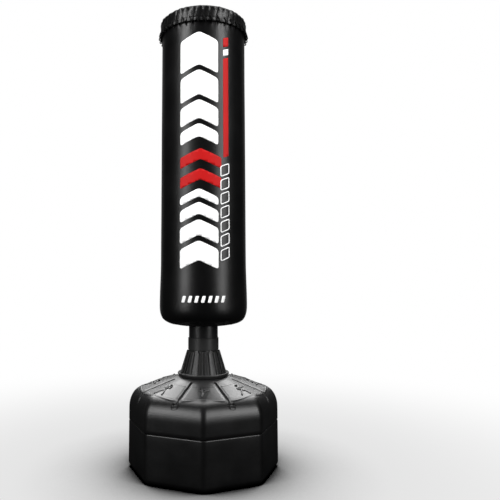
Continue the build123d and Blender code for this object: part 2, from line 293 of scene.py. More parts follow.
basePlastic = mouldedFinish("basePlastic", (0.0022, 0.0022, 0.0023), (0.0046, 0.0046, 0.0048),
                            0.28, 0.38, 900.0, 0.0005)
neckPlastic = mouldedFinish("neckPlastic", grey(0.004), grey(0.008), 0.3, 0.42, 1400.0, 0.0003, 0.26)
bootRubber = mouldedFinish("bootRubber", grey(0.004), grey(0.008), 0.3, 0.42, 700.0, 0.0003, 0.34)
cupRubber = mouldedFinish("cupRubber", grey(0.02), grey(0.035), 0.55, 0.75, 500.0, 0.0003)
nylon = mouldedFinish("nylon", (0.6, 0.59, 0.55), (0.72, 0.71, 0.66), 0.3, 0.45, 900.0, 0.0002)


def metalFinish(name, dark, light, roughLow, roughHigh, metal, stretch):
    # drawn or brushed metal: the noise is pulled out along one way
    finish, tree, shader, place = newFinish(name)
    lines = addNoise(tree, stretched(tree, place, stretch), 60.0, 4.0)
    tree.links.new(addRamp(tree, lines, dark, light), shader.inputs["Base Color"])
    tree.links.new(addRange(tree, lines, roughLow, roughHigh), shader.inputs["Roughness"])
    shader.inputs["Metallic"].default_value = metal
    shader.inputs["Specular IOR Level"].default_value = 0.5 if metal else 0.26
    addBump(tree, shader, lines, 0.0002, 0.2)
    return finish


tubePaint = metalFinish("tubePaint", (0.006, 0.006, 0.0063), (0.011, 0.011, 0.0115),
                        0.3, 0.4, 0.0, (12, 12, 1))
blackSteel = metalFinish("blackSteel", (0.02, 0.02, 0.022), (0.04, 0.04, 0.043), 0.35, 0.5, 0.3, (6, 6, 6))
zincSteel = metalFinish("zincSteel", (0.42, 0.43, 0.46), (0.6, 0.61, 0.64), 0.25, 0.42, 1.0, (2, 2, 9))
springSteel = metalFinish("springSteel", (0.22, 0.23, 0.25), (0.36, 0.37, 0.4), 0.28, 0.4, 1.0, (5, 5, 5))


def grainFinish(name, dark, light, rough, scale, depth, cells=False, stretch=(1, 1, 1), shine=0.4):
    # wood, foam, sand and thread
    finish, tree, shader, place = newFinish(name)
    spot = stretched(tree, place, stretch)
    pattern = addCells(tree, spot, scale) if cells else addNoise(tree, spot, scale, 6.0)
    tree.links.new(addRamp(tree, pattern, dark, light), shader.inputs["Base Color"])
    shader.inputs["Roughness"].default_value = rough
    shader.inputs["Specular IOR Level"].default_value = shine
    addBump(tree, shader, pattern, depth, 0.6)
    return finish


plywood = grainFinish("plywood", (0.36, 0.22, 0.11), (0.6, 0.43, 0.26), 0.7, 22.0, 0.0004,
                      stretch=(1, 9, 30))
foam = grainFinish("foam", (0.45, 0.45, 0.43), (0.62, 0.62, 0.6), 0.9, 420.0, 0.0009, cells=True)
sand = grainFinish("sand", (0.3, 0.22, 0.13), (0.55, 0.44, 0.28), 0.95, 900.0, 0.001, cells=True)
thread = grainFinish("thread", grey(0.0015), grey(0.005), 0.75, 1500.0, 0.0003,
                     stretch=(1, 1, 4), shine=0.08)

nodesOf = [
    (basePlastic, ("base_lower_shell", "base_upper_shell")),
    (neckPlastic, ("neck_ring", "tube_collar", "tube_plug", "fill_cap", "core_sleeve")),
    (bootRubber, ("neck_boot", "bump_stops")),
    (cupRubber, ("suction_cups", "fill_cap_seal")),
    (tubePaint, ("core_tube",)),
    (sand, ("sand_fill",)),
    (zincSteel, ("anchor_plate", "anchor_tube", "plate_bolts", "boot_screws", "ball_stud", "stud_nut")),
    (blackSteel, ("lower_spring_plate", "upper_spring_plate", "lower_spring_seats", "upper_spring_seats",
                  "ball_housing", "support_ring")),
    (springSteel, ("coil_springs",)),
    (nylon, ("socket_liner",)),
    (plywood, ("lower_disc", "top_disc")),
    (foam, ("firm_foam", "soft_foam", "bottom_pad", "crown_pad")),
    (coverLeather, ("bag_cover", "top_cover", "hem_band")),
]
for finish, nodeNames in nodesOf:
    for nodeName in nodeNames:
        cadNodes[nodeName].data.materials.clear()
        cadNodes[nodeName].data.materials.append(finish)
print("finishes made")


coverLow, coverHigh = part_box("bag_cover")
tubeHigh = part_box("core_tube")[1]
skin = {"bulge": coverHigh.x, "side": coverHigh.x - 0.0036, "cornerStart": 0.112, "dish": 0.006,
        "bulgeUp": 0.080, "fadeUp": 0.250, "squareness": 2.7, "cols": 256, "grow": 0.0008,
        "pressure": 4.0, "cap": 0.003, "waver": 0.0005, "sag": 0.0008,
        "holeGap": 0.0008, "underTop": 0.002, "wall": 0.0012, "frames": 20}
gathers = {"count": 40, "pucker": 0.0011, "puckerDrop": 0.045, "puckerSink": 0.35, "hemUp": 0.0035}
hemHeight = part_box("hem_band")[0].z + gathers["hemUp"]


def skinOutline():
    low = coverLow.z
    points = []
    holeRadius = tubeHigh.x + skin["holeGap"]
    for i in range(9):
        t = i / 8
        points.append((lerp(holeRadius, skin["cornerStart"], t), low + skin["dish"] * t * t))
    wide = skin["bulge"] - skin["cornerStart"]
    tall = skin["bulgeUp"] - skin["dish"]
    for i in range(1, 19):
        a = math.pi / 2 * i / 18
        out = math.sin(a) ** (2 / skin["squareness"])
        up = 1 - math.cos(a) ** (2 / skin["squareness"])
        points.append((skin["cornerStart"] + wide * out, low + skin["dish"] + tall * up))
    for i in range(1, 13):
        t = i / 12
        points.append((lerp(skin["bulge"], skin["side"], smooth(0, 1, t)),
                       low + lerp(skin["bulgeUp"], skin["fadeUp"], t)))
    top = coverHigh.z - skin["underTop"]
    rows = 84
    for i in range(1, rows + 1):
        points.append((skin["side"], lerp(low + skin["fadeUp"], top, i / rows)))
    return points


def swell(piece, held, pressure, cap):
    # a short cloth run with air inside, kept within cap of where it began
    group = piece.vertex_groups.new(name="held")
    group.add(held, 1.0, "REPLACE")
    began = [v.co.copy() for v in piece.data.vertices]
    cloth = piece.modifiers.new("air", "CLOTH")
    setup = cloth.settings
    setup.use_pressure = True
    setup.uniform_pressure_force = pressure
    setup.vertex_group_mass = "held"
    setup.quality = 4
    setup.tension_stiffness = 30
    setup.compression_stiffness = 30
    setup.bending_stiffness = 2
    setup.effector_weights.gravity = 0
    cloth.collision_settings.use_collision = False
    scene = bpy.context.scene
    for frameNumber in range(1, skin["frames"] + 1):
        scene.frame_set(frameNumber)
    graph = bpy.context.evaluated_depsgraph_get()
    done = [v.co.copy() for v in piece.evaluated_get(graph).data.vertices]
    piece.modifiers.clear()
    piece.vertex_groups.clear()
    for v, a, b in zip(piece.data.vertices, began, done):
        move = b - a
        v.co = a + (move if move.length <= cap else move.normalized() * cap)
    scene.frame_set(1)
    piece.data.update()


def gatherWave(angle):
    # 1 in the middle of a fold, 0 in the pinch between two
    return abs(math.cos(angle * gathers["count"] / 2)) ** 0.8


def unevenAt(angle, height, acrossScale, upScale):
    place = Vector((math.sin(angle) * acrossScale, math.cos(angle) * acrossScale, height * upScale))
    return noise.noise(place)


outline = skinOutline()
cols = skin["cols"]
verts = [around(fullTurn * j / cols, r + skin["grow"], z) for r, z in outline for j in range(cols)]
bagSkin = addPiece("bagSkin", verts, ringFaces(len(outline), cols), coverLeather, None)
topRow = (len(outline) - 1) * cols
swell(bagSkin, list(range(cols)) + list(range(topRow, topRow + cols)), skin["pressure"], skin["cap"])
for v in bagSkin.data.vertices:
    angle = math.atan2(v.co.x, -v.co.y)
    radius = math.hypot(v.co.x, v.co.y)
    upper = smooth(hemHeight - gathers["puckerDrop"], hemHeight, v.co.z)
    lowerSkin = smooth(coverLow.z + 0.1, coverLow.z + 0.02, v.co.z)
    shift = unevenAt(angle, v.co.z, 2, 5) * skin["waver"]
    shift += (gatherWave(angle) - gathers["puckerSink"]) * gathers["pucker"] * upper
    shift += unevenAt(angle, v.co.z, 5, 18) * skin["sag"] * lowerSkin
    v.co += Vector((v.co.x, v.co.y, 0)) * (shift / radius)
thicken(bagSkin, skin["wall"])
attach(bagSkin, "bag")
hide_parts("bag_cover")
print("bag skin done")


graph = bpy.context.evaluated_depsgraph_get()
skinTree = BVHTree.FromObject(bagSkin, graph)


def onSkin(side, across, height, lift):
    # across is measured round the bag from the middle of that side, in metres
    angle = side + across / skin["side"]
    out = around(angle, 1.0, 0.0)
    hit = skinTree.ray_cast(Vector((0, 0, height)) + out * 0.4, -out)[0]
    reach = math.hypot(hit.x, hit.y) if hit else skin["side"]
    return around(angle, reach + lift, height)


def rounded(points, radius, closed=True, steps=5):
    # the same outline with its corners rounded
    result = []
    count = len(points)
    for i, corner in enumerate(points):
        if not closed and i in (0, count - 1):
            result.append(corner)
            continue
        corner = Vector(corner)
        back = Vector(points[i - 1]) - corner
        ahead = Vector(points[(i + 1) % count]) - corner
        trim = min(radius, back.length * 0.45, ahead.length * 0.45)
        start = corner + back.normalized() * trim
        end = corner + ahead.normalized() * trim
        for k in range(steps + 1):
            t = k / steps
            spot = start * (1 - t) ** 2 + corner * 2 * t * (1 - t) + end * t * t
            result.append((spot.x, spot.y))
    return result


def strip(points, width, closed=False):
    # flat band along a line, as (verts, faces)
    count = len(points)
    verts, faces = [], []
    for i, point in enumerate(points):
        here = Vector(point)
        before = Vector(points[i - 1]) if i or closed else here
        after = Vector(points[(i + 1) % count]) if i < count - 1 or closed else here
        along = after - before
        inward = (here - before).normalized() if before != here else along.normalized()
        onward = (after - here).normalized() if after != here else along.normalized()
        side = Vector((-(inward + onward).y, (inward + onward).x)).normalized()
        spread = max(side.dot(Vector((-inward.y, inward.x))), 0.5)
        verts.append(here + side * (width / 2 / spread))
        verts.append(here - side * (width / 2 / spread))
    for i in range(count if closed else count - 1):
        n = (i + 1) % count
        faces.append((2 * i, 2 * i + 1, 2 * n + 1, 2 * n))
    return [(v.x, v.y, 0.0) for v in verts], faces


def filled(points):
    return [(x, y, 0.0) for x, y in points], [tuple(range(len(points)))]


inkLook = {"lift": 0.0005, "figureLift": 0.0010, "wall": 0.0006, "cutAcross": 0.004, "cutUp": 0.012}


def cutFine(flat, along, step):
    # parallel cuts every step, so that the flat shape can follow the round skin
    facing = Vector((1, 0, 0)) if along == 0 else Vector((0, 1, 0))
    spots = [v.co[along] for v in flat.verts]
    last = max(spots)
    at = math.floor(min(spots) / step) * step
    while at < last:
        at += step
        everything = flat.verts[:] + flat.edges[:] + flat.faces[:]
        bmesh.ops.bisect_plane(flat, geom=everything, plane_co=facing * at, plane_no=facing)


def printOnBag(name, shapes, side, ink, lift=inkLook["lift"]):
    # shapes are flat (verts, faces), across and up in metres; they are cut fine and laid on the skin
    flat = bmesh.new()
    for verts, faces in shapes:
        made = [flat.verts.new(v) for v in verts]
        for face in faces:
            flat.faces.new([made[i] for i in face])
    bmesh.ops.triangulate(flat, faces=flat.faces[:])
    cutFine(flat, 0, inkLook["cutAcross"])
    cutFine(flat, 1, inkLook["cutUp"])
    for v in flat.verts:
        v.co = onSkin(side, v.co.x, v.co.y, lift)
    bmesh.ops.recalc_face_normals(flat, faces=flat.faces[:])
    mesh = bpy.data.meshes.new(name)
    flat.to_mesh(mesh)
    flat.free()
    middle = mesh.polygons[0]
    outward = Vector((middle.center.x, middle.center.y, 0))
    if middle.normal.dot(outward) < 0:
        mesh.flip_normals()
    mesh.shade_smooth()
    piece = newObject(name, mesh)
    mesh.materials.append(ink)
    thicken(piece, inkLook["wall"])
    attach(piece, "bag")


frontPrint = {"left": -0.090, "right": 0.056, "top": 1.640, "gap": 0.020, "corner": 0.012, "rise": 0.034,
              "redLow": 1.062, "redHigh": 1.184, "redPast": 0.012,
              "upperShares": (0.150, 0.112, 0.084, 0.058), "lowerBars": (0.030, 0.044, 0.058, 0.072)}
frontStripe = {"middle": 0.088, "wide": 0.022, "red": ((1.160, 1.540), (1.585, 1.620)),
               "white": (1.551, 1.574), "rise": 0.008}
frontOutlines = {"left": 0.066, "right": 0.100, "low": 0.775, "high": 1.140, "count": 7, "share": 0.72,
                 "rise": 0.014, "corner": 0.006, "line": 0.0034}
frontMark = {"height": 0.636, "first": -0.072, "step": 0.024, "half": 0.006, "lean": 0.003, "tall": 0.024,
             "count": 7, "corner": 0.003}


def chevronBar(low, high, rise, left, right):
    # a bar across the bag with a pointed top and a notch under it
    middle = (left + right) / 2
    return [(left, low), (middle, low + rise), (right, low),
            (right, high), (middle, high + rise), (left, high)]


def slantBar(low, high, left, right, rise):
    return [(left, low), (right, low + rise), (right, high + rise), (left, high)]


def makeFrontPrint():
    p, line, box, mark = frontPrint, frontStripe, frontOutlines, frontMark
    white, red = [], []

    def addBar(into, low, high, right=p["right"], corner=p["corner"]):
        into.append(filled(rounded(chevronBar(low, high, p["rise"], p["left"], right), corner)))

    at = p["redHigh"] + p["gap"]
    shares = p["upperShares"]
    room = p["top"] - p["rise"] - at - p["gap"] * (len(shares) - 1)
    for share in reversed(shares):
        tall = room * share / sum(shares)
        addBar(white, at, at + tall)
        at += tall + p["gap"]
    at = p["redLow"] - p["gap"] - p["rise"] * 0.2
    for tall in p["lowerBars"]:
        addBar(white, at - tall - p["rise"] * 0.8, at - p["rise"] * 0.8)
        at -= tall + p["gap"]
    tall = (p["redHigh"] - p["redLow"] - p["gap"]) / 2
    for low in (p["redLow"] - p["rise"] * 0.6, p["redLow"] + tall + p["gap"] * 0.2):
        addBar(red, low, low + tall * 0.8, p["right"] + p["redPast"], p["corner"] * 0.5)
    left = line["middle"] - line["wide"] / 2
    right = line["middle"] + line["wide"] / 2
    for low, high in line["red"]:
        red.append(filled(slantBar(low, high, left, right, line["rise"])))
    white.append(filled(slantBar(*line["white"], left, right, line["rise"])))
    tall = (box["high"] - box["low"]) / box["count"]
    for i in range(box["count"]):
        low = box["low"] + i * tall
        shape = slantBar(low, low + tall * box["share"], box["left"], box["right"], box["rise"])
        white.append(strip(rounded(shape, box["corner"]), box["line"], closed=True))
    for i in range(mark["count"]):
        across = mark["first"] + i * mark["step"]
        low, high = mark["height"] - mark["tall"] / 2, mark["height"] + mark["tall"] / 2
        bar = [(across - mark["half"] - mark["lean"], low), (across + mark["half"] - mark["lean"], low),
               (across + mark["half"] + mark["lean"], high), (across - mark["half"] + mark["lean"], high)]
        white.append(filled(rounded(bar, mark["corner"])))
    printOnBag("frontWhitePrint", white, 0.0, whiteInk)
    printOnBag("frontRedPrint", red, 0.0, redInk)


makeFrontPrint()

# strokes of the figures 0 to 9 on a square of side 1; a loop closes on itself
digitStrokes = {
    "0": [("loop", (0, 0), (1, 0), (1, 1), (0, 1))],
    "1": [("line", (0.22, 0.82), (0.52, 1.0), (0.52, 0.0))],
    "2": [("line", (0, 1), (1, 1), (1, 0.5), (0, 0.5), (0, 0), (1, 0))],
    "3": [("line", (0, 1), (1, 1), (1, 0), (0, 0)), ("line", (0.2, 0.5), (0.9, 0.5))],
    "4": [("line", (0.25, 1.05), (-0.05, 0.25), (1.05, 0.25)), ("line", (0.75, 0.8), (0.75, -0.12))],
    "5": [("line", (1, 1), (0, 1), (0, 0.5), (1, 0.5), (1, 0), (0, 0))],
    "6": [("line", (1, 1), (0, 1), (0, 0), (1, 0), (1, 0.5), (0.1, 0.5))],
    "7": [("line", (0, 1), (1, 1), (0.45, 0))],
    "8": [("loop", (0, 0), (1, 0), (1, 1), (0, 1)), ("line", (0.1, 0.5), (0.9, 0.5))],
    "9": [("line", (0.9, 0.5), (0, 0.5), (0, 1), (1, 1), (1, 0), (0, 0))],
}
targets = {"ringOut": 0.0625, "disc": 0.0525, "digitHigh": 0.048, "digitWide": 0.050,
           "stroke": 0.0092, "sideTurn": 0.170, "middleHeights": (1.530, 1.296, 1.089, 0.882),
           "sideHeights": (1.487, 1.359, 1.182, 1.000)}


def figureShapes(text, across, height, wide, tall, stroke):
    shapes = []
    space = wide + stroke * 1.9
    start = across - (len(text) - 1) * space / 2
    for i, digit in enumerate(text):
        left = start + i * space - wide / 2
        for kind, *points in digitStrokes[digit]:
            placed = [(left + x * wide, height - tall / 2 + y * tall) for x, y in points]
            bent = rounded(placed, stroke * 0.9, closed=kind == "loop")
            shapes.append(strip(bent, stroke, closed=kind == "loop"))
    return shapes


def circle(across, height, radius, count=64):
    turns = [fullTurn * k / count for k in range(count)]
    return [(across + radius * math.cos(a), height + radius * math.sin(a)) for a in turns]


def makeTargets():
    t = targets
    places = []
    for i, height in enumerate(t["middleHeights"]):
        places.append((str(3 * i + 1), 0.0, height))
        places.append((str(3 * i + 2), -t["sideTurn"], t["sideHeights"][i]))
        places.append((str(3 * i + 3), t["sideTurn"], t["sideHeights"][i]))
    rings, discs, figures = [], [], []
    for text, across, height in places:
        middleLine = circle(across, height, (t["ringOut"] + t["disc"]) / 2)
        rings.append(strip(middleLine, t["ringOut"] - t["disc"], True))
        discs.append(filled(circle(across, height, t["disc"])))
        wide = t["digitWide"] if len(text) == 1 else t["digitWide"] * 0.62
        figures += figureShapes(text, across, height, wide - t["stroke"], t["digitHigh"] - t["stroke"],
                                t["stroke"] if len(text) == 1 else t["stroke"] * 0.8)
    printOnBag("targetRings", rings, math.pi, whiteInk)
    printOnBag("targetDiscs", discs, math.pi, redInk)
    printOnBag("targetFigures", figures, math.pi, whiteInk, lift=inkLook["figureLift"])


makeTargets()


rearMark = {"count": 11, "first": -0.135, "step": 0.027, "low": 0.670, "tall": 0.020, "grow": 0.0032,
            "before": 0.010, "after": 0.008, "lean": 0.3, "corner": 0.003, "red": (5, 6)}


def makeRearMark():
    # a plain level bar under the targets: slanted blocks that grow, white with two red ones
    m = rearMark
    white, red = [], []
    for i in range(m["count"]):
        left = m["first"] + i * m["step"] - m["before"]
        right = left + m["before"] + m["after"]
        tall = m["tall"] + m["grow"] * i
        lean = tall * m["lean"]
        high = m["low"] + tall
        bar = [(left, m["low"]), (right, m["low"]), (right + lean, high), (left + lean, high)]
        (red if i in m["red"] else white).append(filled(rounded(bar, m["corner"])))
    printOnBag("rearWhiteMark", white, math.pi, whiteInk)
    printOnBag("rearRedMark", red, math.pi, redInk)


makeRearMark()
print("prints laid on")


topHigh = cadBox[1].z
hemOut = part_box("hem_band")[1].x
cap = {"cols": 960, "rows": 72, "crownEdge": 0.138, "edge": coverHigh.z, "edgeOut": skin["side"] + 0.0050,
       "hemOut": hemOut - 0.0060, "fold": 0.0036, "skirtShare": 0.3, "hemShare": 0.6,
       "slant": 0.05, "wall": 0.0016, "seamAt": 0.80, "seamDeep": 0.0014,
       "uneven": 0.0009, "hemWall": 0.0022}
random.seed(7)
foldStrength = [random.uniform(0.65, 1.2) for k in range(gathers["count"])]
foldShift = [random.uniform(-0.18, 0.18) for k in range(gathers["count"])]


def foldAt(angle):
    # uneven folds: every gather has its own depth and place
    turn = angle / fullTurn * gathers["count"]
    index = int(math.floor(turn)) % gathers["count"]
    inside = turn - math.floor(turn)
    inside = min(max(inside + foldShift[index] * math.sin(math.pi * inside), 0), 1)
    return foldStrength[index] * math.sin(math.pi * inside) ** 0.6 - 0.5


def capRow(t):
    # t runs 0 at the middle of the crown to 1 at the hem: (radius, height, fold share)
    if t < 0.35:
        s = t / 0.35
        height = topHigh - 0.0026 - 0.0016 * s * s
        return lerp(0.0005, cap["crownEdge"], s), height, 0.45 * smooth(0.72, 1, s)
    if t < 0.6:
        s = (t - 0.35) / 0.25
        a = math.pi / 2 * s
        radius = cap["crownEdge"] + (cap["edgeOut"] - cap["crownEdge"]) * math.sin(a)
        height = cap["edge"] - 0.006 + (topHigh - 0.0042 - cap["edge"] + 0.006) * math.cos(a)
        return radius, height, lerp(0.45, 1.0, smooth(0, 0.5, s))
    s = (t - 0.6) / 0.4
    seam = math.exp(-((s - cap["seamAt"]) / 0.05) ** 2)
    radius = lerp(cap["edgeOut"], cap["hemOut"], s ** 1.4) - cap["seamDeep"] * seam
    share = lerp(1, cap["skirtShare"], smooth(0, 0.35, s))
    share += (cap["hemShare"] - cap["skirtShare"]) * smooth(0.7, 1, s)
    return radius, lerp(cap["edge"] - 0.006, hemHeight, s), share


capVerts = []
for i in range(cap["rows"] + 1):
    t = i / cap["rows"]
    radius, height, share = capRow(t)
    for j in range(cap["cols"]):
        angle = fullTurn * j / cap["cols"]
        lean = angle + cap["slant"] * smooth(0.55, 1.0, t)
        fold = foldAt(lean % fullTurn) * cap["fold"] * share
        small = unevenAt(angle, height, 14, 90) * cap["uneven"]
        out = radius + (fold + small * share if t > 0.25 else 0)
        up = height + (fold * 0.9 if 0.25 < t < 0.62 else 0) + (fold * 0.7 if t > 0.95 else 0)
        capVerts.append(around(angle, out, min(up, topHigh)))
gatheredCap = addPiece("gatheredCap", capVerts, ringFaces(cap["rows"] + 1, cap["cols"]),
                       coverLeather, "bag")
thicken(gatheredCap, cap["wall"])
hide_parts("top_cover")


def hemPoint(angle, up, out):
    lean = angle + cap["slant"]
    fold = foldAt(lean % fullTurn) * cap["fold"] * cap["hemShare"]
    return around(angle, cap["hemOut"] + fold + out, hemHeight + fold * 0.7 + up)


hemLine = [hemPoint(fullTurn * j / cap["cols"], -0.002, 0.0008) for j in range(cap["cols"])]
hemVerts, hemFaces = tubeAlong(hemLine, cap["hemWall"], 10, closed=True)
hemRoll = addPiece("hemRoll", hemVerts, hemFaces, coverLeather, "bag")
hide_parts("hem_band")


stitches = {"perGather": 4, "thread": 0.0009, "rows": (0.0085, 0.0125), "lace": 0.0023, "laceTurn": 0.5,
            "laceLine": ((-0.034, 0.0180, -0.0016), (-0.020, 0.0125, 0.0016), (-0.006, 0.0065, 0.0030),
                         (0.006, 0.0000, 0.0048), (0.014, -0.0055, 0.0062), (0.019, -0.0088, 0.0040),
                         (0.021, -0.0080, 0.0000), (0.021, -0.0045, -0.0040))}


def throughPoints(line):
    # smooth curve through the points of a line
    fine = []
    last = len(line) - 1
    for i in range(last):
        a, b, c, d = line[max(i - 1, 0)], line[i], line[i + 1], line[min(i + 2, last)]
        for q in (0, 0.33, 0.66):
            fine.append(0.5 * (2 * b + (c - a) * q + (2 * a - 5 * b + 4 * c - d) * q * q
                               + (3 * b - a - 3 * c + d) * q ** 3))
    return fine + [line[-1]]


def makeStitches():
    s = stitches
    runs = []
    count = gathers["count"] * s["perGather"]
    half = fullTurn / count * 0.36
    for k in range(count):
        middle = fullTurn * (k + 0.5) / count
        for up in s["rows"]:
            points = [hemPoint(middle + half * q, up, -0.0020 + 0.0014 * (1 - q * q))
                      for q in (-1, -0.6, 0, 0.6, 1)]
            runs.append(tubeAlong(points, s["thread"], 6))
    laces = []
    line = throughPoints([Vector(p) for p in s["laceLine"]])
    for k in range(gathers["count"]):
        middle = fullTurn * (k + s["laceTurn"]) / gathers["count"] - cap["slant"]
        laces.append(tubeAlong([hemPoint(middle + p.x, p.y, p.z) for p in line], s["lace"], 8))
    joinInto("hemStitches", runs, thread, "bag")
    joinInto("gatherLaces", laces, thread, "bag")


makeStitches()
print("cap done")


baseLow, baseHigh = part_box("base_lower_shell")
base = {"reach": baseHigh.x, "corner": 0.032, "seam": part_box("base_upper_shell")[0].z, "seamGap": 0.0004,
        "shoulderFrom": 0.222, "shoulderIn": 0.0542, "shoulderUp": 0.0772, "slope": math.radians(16),
        "deckReach": 0.093, "deckCorner": 0.084, "bottomEdge": 0.020, "chamfer": 0.0032, "lip": 0.0050,
        "cols": 800, "wall": 0.004}
groove = {"half": 0.0040, "soft": 0.0012, "depth": 0.0058, "inner": 0.122, "outer": 0.256, "hookAt": 0.252,
          "hook": 0.017, "hookLean": math.radians(2), "hookBend": 0.009, "lines": (0.150, 0.241),
          "lineRise": 0.0010, "panelRise": 0.0006}
halfSide = math.radians(22.5)


def octagonReach(angle, reach, corner):
    # distance to the edge of a rounded octagon whose corner faces angle 0
    point = reach + corner * (1 / math.cos(halfSide) - 1)
    away = (angle + halfSide) % (2 * halfSide) - halfSide
    trim = corner * math.tan(halfSide)
    tangent = math.atan2(math.cos(halfSide) * trim, point - math.sin(halfSide) * trim)
    if abs(away) > tangent:
        return point * math.cos(halfSide) / math.cos(halfSide - abs(away))
    centre = point - corner / math.cos(halfSide)
    return centre * math.cos(away) + math.sqrt(corner ** 2 - (centre * math.sin(away)) ** 2)


def grooveLines():
    # the four grooves nearest the front and the rear end in a hook
    lines = []
    for k in range(8):
        turn = {0: 1, 4: 1, 3: -1, 7: -1}.get(k, 0)
        a = halfSide + k * 2 * halfSide - groove["hookLean"] * turn
        end = groove["hookAt"] if turn else groove["outer"]
        points = [around(a, groove["inner"], 0), around(a, end, 0)]
        if turn:
            points.append(points[1] + Vector((math.cos(a), math.sin(a), 0)) * groove["hook"] * turn)
        path = rounded([(p.x, p.y) for p in points], groove["hookBend"], closed=False)
        lines.append([Vector(p) for p in path])
    return lines


grooves = grooveLines()


def toPath(x, y, path):
    spot = Vector((x, y))
    best = 1.0
    for a, b in zip(path, path[1:]):
        along = b - a
        t = min(max((spot - a).dot(along) / along.length_squared, 0), 1)
        best = min(best, (spot - a - along * t).length)
    return best


def domeRelief(angle, x, y):
    radius = math.hypot(x, y)
    if not groove["inner"] - 0.01 < radius < groove["outer"] + 0.01:
        return 0.0
    index = int(angle / (2 * halfSide)) % 8
    near = toPath(x, y, grooves[index])
    half, soft = groove["half"], groove["soft"]
    cut = groove["depth"] * smooth(half + soft, half - soft * 0.3, near)
    # two thin raised lines cross every panel, and the panel between them stands a little proud
    clear = smooth(0.010, 0.014, near)
    inner, outer = groove["lines"]
    between = smooth(inner - 0.002, inner + 0.002, radius) * smooth(outer + 0.002, outer - 0.002, radius)
    rise = groove["panelRise"] * between * clear
    for line in (inner, outer):
        rise += groove["lineRise"] * smooth(0.0026, 0.0008, abs(radius - line)) * clear
    return rise - cut


def basePiece(name, rows, node, relief=False):
    cols = base["cols"]
    verts = []
    for i, (reach, height, corner) in enumerate(rows):
        before, after = rows[max(i - 1, 0)], rows[min(i + 1, len(rows) - 1)]
        facing = Vector((after[1] - before[1], before[0] - after[0])).normalized()
        for j in range(cols):
            angle = fullTurn * j / cols
            radius = octagonReach(angle, reach, corner)
            spot = around(angle, radius, height)
            if relief:
                spot += around(angle, facing.x, facing.y) * domeRelief(angle, spot.x, spot.y)
            verts.append(spot)
    piece = addPiece(name, verts, ringFaces(len(rows), cols), basePlastic, "base")
    thicken(piece, base["wall"])
    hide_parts(node)
    return piece


def upperRows():
    b = base
    chamfer, gap = b["chamfer"], b["seamGap"]
    rows = [(b["reach"] - chamfer * back, b["seam"] + up, b["corner"])
            for back, up in ((1.4, gap), (1, gap), (0.25, chamfer * 0.7), (0, chamfer * 1.3))]
    for i in range(1, 7):
        rows.append((b["reach"], lerp(b["seam"] + 0.006, b["shoulderFrom"], i / 6), b["corner"]))
    # the shoulder is a quarter of an oval that ends on the dome's slope
    turn = math.atan(b["shoulderUp"] / b["shoulderIn"] / math.tan(b["slope"]))
    for i in range(1, 37):
        a = turn * i / 36
        reach = b["reach"] - b["shoulderIn"] * (1 - math.cos(a))
        rows.append((reach, b["shoulderFrom"] + b["shoulderUp"] * math.sin(a), cornerAt(reach)))
    lastReach, lastHeight = rows[-1][:2]
    steps = 76
    for i in range(1, steps + 1):
        reach = lerp(lastReach, b["deckReach"], i / steps)
        rows.append((reach, lastHeight + (lastReach - reach) * math.tan(b["slope"]), cornerAt(reach)))
    rows.append((b["deckReach"] - 0.004, rows[-1][1], b["deckCorner"] - 0.004))
    rows.append((0.036, rows[-1][1], 0.034))
    return rows


def cornerAt(reach):
    share = (base["reach"] - reach) / (base["reach"] - base["deckReach"])
    return lerp(base["corner"], base["deckCorner"], share)


def lowerRows():
    b = base
    low, edge, lip, top = baseLow.z, b["bottomEdge"], b["lip"], b["seam"] - b["seamGap"]
    rows = [(0.02, low, 0.018), (0.15, low, 0.03), (b["reach"] - edge, low, b["corner"] - edge + 0.004)]
    for i in range(1, 9):
        a = math.pi / 2 * i / 8
        back = edge * (1 - math.sin(a))
        rows.append((b["reach"] - back, low + edge * (1 - math.cos(a)), b["corner"] - back))
    for i in range(1, 9):
        rows.append((b["reach"], lerp(low + edge, top - lip, i / 8), b["corner"]))
    for i in range(1, 9):
        a = math.pi / 2 * i / 8
        rows.append((b["reach"] - lip * (1 - math.cos(a)), top - lip * (1 - math.sin(a)), b["corner"]))
    rows.append((b["reach"] - lip * 1.4, top, b["corner"]))
    return rows


baseTop = basePiece("baseTop", upperRows(), "base_upper_shell", relief=True)
baseTub = basePiece("baseTub", lowerRows(), "base_lower_shell")
print("base done")

# raised figures on the panels: a ball for the head and round strokes for the body
# every leg and arm is given by its bend and its end
athletes = [
    {"head": (0.08, 0.80), "neck": (0.02, 0.55), "hip": (-0.12, -0.05), "shoulder": (0.02, 0.48),
     "legs": [((0.32, -0.42), (0.28, -0.95)), ((-0.50, -0.42), (-0.95, -0.80))],
     "arms": [((0.42, 0.30), (0.92, 0.52)), ((-0.42, 0.30), (-0.22, -0.02))]},
    {"head": (-0.42, 0.72), "neck": (-0.34, 0.48), "hip": (-0.10, -0.05), "shoulder": (-0.30, 0.40),
     "legs": [((0.42, 0.18), (0.98, 0.42)), ((-0.12, -0.50), (-0.30, -0.98))],
     "arms": [((0.05, 0.35), (0.22, 0.60)), ((-0.68, 0.22), (-0.90, 0.42))]},
    {"head": (0.0, 0.84), "neck": (0.0, 0.58), "hip": (0.0, -0.05), "shoulder": (0.0, 0.50),
     "legs": [((0.38, -0.45), (0.62, -0.95)), ((-0.38, -0.45), (-0.62, -0.95))],
     "arms": [((0.40, 0.22), (0.30, 0.66)), ((-0.40, 0.22), (-0.30, 0.66))]},
    {"head": (0.34, 0.66), "neck": (0.24, 0.44), "hip": (-0.14, -0.02), "shoulder": (0.22, 0.38),
     "legs": [((0.30, -0.24), (0.14, -0.85)), ((-0.58, -0.34), (-0.98, -0.22))],
     "arms": [((0.62, 0.12), (0.95, 0.28)), ((-0.22, 0.50), (-0.52, 0.22))]},
]
figureSize = {"wide": 0.031, "tall": 0.036, "stroke": 0.0033, "at": 0.194, "sink": 0.0005,
              "front": (0.60, 0.86)}
